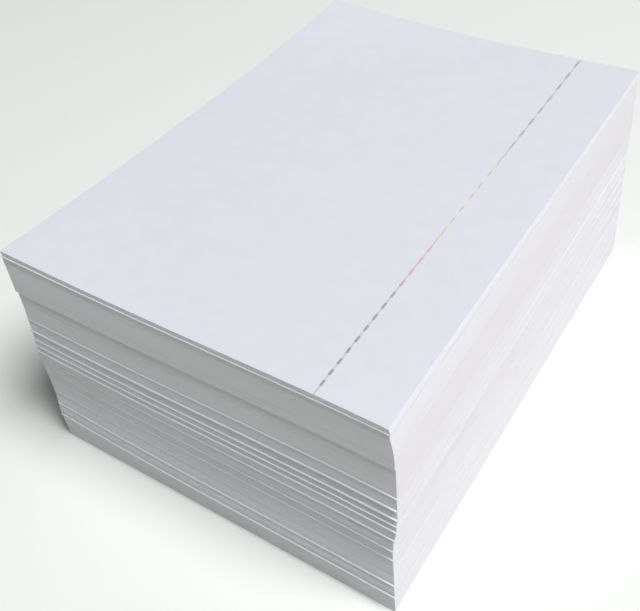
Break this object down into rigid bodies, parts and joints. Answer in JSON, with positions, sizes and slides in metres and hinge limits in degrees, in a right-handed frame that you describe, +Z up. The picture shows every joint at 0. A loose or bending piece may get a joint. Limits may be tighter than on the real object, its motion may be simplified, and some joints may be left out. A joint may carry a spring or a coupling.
{
  "type": "pile of security paper",
  "caption": "Tall pile of A4 security paper sheets, slightly out of line, with a windowed holographic thread in the top sheet.",
  "frame": {"origin": "centre of the pile's base, on the surface that it stands on", "axes": "+X to the right across the sheets' short side, +Y along the sheets' long side toward the back edge, +Z up through the pile"},
  "size_m": [0.2136, 0.3014, 0.139],
  "materials": {
    "paper": "uncoated white wove paper",
    "thread_foil": "holographic metallised film"
  },
  "bodies": {
    "root": {"lift_01": "paper", "lift_02": "paper", "lift_03": "paper", "lift_04": "paper", "lift_05": "paper", "lift_06": "paper", "lift_07": "paper", "lift_08": "paper", "lift_09": "paper", "lift_10": "paper", "lift_11": "paper", "lift_12": "paper", "lift_13": "paper", "lift_14": "paper", "lift_15": "paper", "lift_16": "paper", "lift_17": "paper", "lift_18": "paper", "slipped_bundle_01": "paper", "slipped_bundle_02": "paper", "slipped_bundle_03": "paper", "slipped_bundle_04": "paper", "slipped_bundle_05": "paper", "slipped_bundle_06": "paper", "slipped_bundle_07": "paper", "slipped_bundle_08": "paper", "slipped_bundle_09": "paper", "slipped_bundle_10": "paper", "slipped_bundle_11": "paper", "slipped_bundle_12": "paper", "top_sheet": "paper", "security_thread": "thread_foil"}
  },
  "joints": []
}
